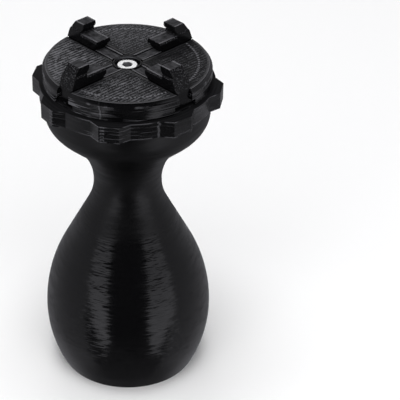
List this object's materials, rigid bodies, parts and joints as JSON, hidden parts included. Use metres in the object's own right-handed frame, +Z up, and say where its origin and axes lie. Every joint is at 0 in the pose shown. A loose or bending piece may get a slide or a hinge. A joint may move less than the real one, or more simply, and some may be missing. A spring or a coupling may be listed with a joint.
{
  "type": "miniature painting handle",
  "caption": "Hand grip with a self-centring chuck: a lobed ring turns a spiral that drives hooked jaws in or out together, to hold a round figure base while it is painted.",
  "frame": {"origin": "centre of the flat foot, on the table, at the jaws' closed pose", "axes": "+Z up along the axis of the grip and the screw, +X along the slot of the first jaw, +Y along the slot of the second jaw"},
  "size_m": [0.061, 0.061, 0.1204],
  "materials": {
    "grip_plastic": "printed in fine layers, satin black",
    "ring_plastic": "printed in fine layers, satin black",
    "plate_plastic": "printed, diagonal lines on its top face",
    "jaw_plastic": "printed, rough on the sloped backs",
    "screw_steel": "bright zinc",
    "insert_brass": "plain"
  },
  "bodies": {
    "handle": {"grip": "grip_plastic", "threaded_insert": "insert_brass", "jaw_plate": "plate_plastic", "clamp_screw": "screw_steel"},
    "ring": {"scroll_ring": "ring_plastic"},
    "first_jaw": {"jaw_1": "jaw_plastic"},
    "second_jaw": {"jaw_2": "jaw_plastic"},
    "third_jaw": {"jaw_3": "jaw_plastic"},
    "fourth_jaw": {"jaw_4": "jaw_plastic"}
  },
  "joints": [
    {"name": "ring_turn", "type": "hinge", "parent": "handle", "child": "ring", "pos_m": [0, 0, 0.105], "axis": [0, 0, 1], "range_deg": [0, 1332]},
    {"name": "jaw_1_slide", "type": "slide", "parent": "handle", "child": "first_jaw", "axis": [1, 0, 0], "range_m": [0, 0.0148]},
    {"name": "jaw_2_slide", "type": "slide", "parent": "handle", "child": "second_jaw", "axis": [0, 1, 0], "range_m": [0, 0.0148]},
    {"name": "jaw_3_slide", "type": "slide", "parent": "handle", "child": "third_jaw", "axis": [-1, 0, 0], "range_m": [0, 0.0148]},
    {"name": "jaw_4_slide", "type": "slide", "parent": "handle", "child": "fourth_jaw", "axis": [0, -1, 0], "range_m": [0, 0.0148]}
  ],
  "couplings": [
    {"joint": "jaw_1_slide", "follows": "ring_turn", "m_per_rad": 0.0006366},
    {"joint": "jaw_2_slide", "follows": "ring_turn", "m_per_rad": 0.0006366},
    {"joint": "jaw_3_slide", "follows": "ring_turn", "m_per_rad": 0.0006366},
    {"joint": "jaw_4_slide", "follows": "ring_turn", "m_per_rad": 0.0006366}
  ]
}
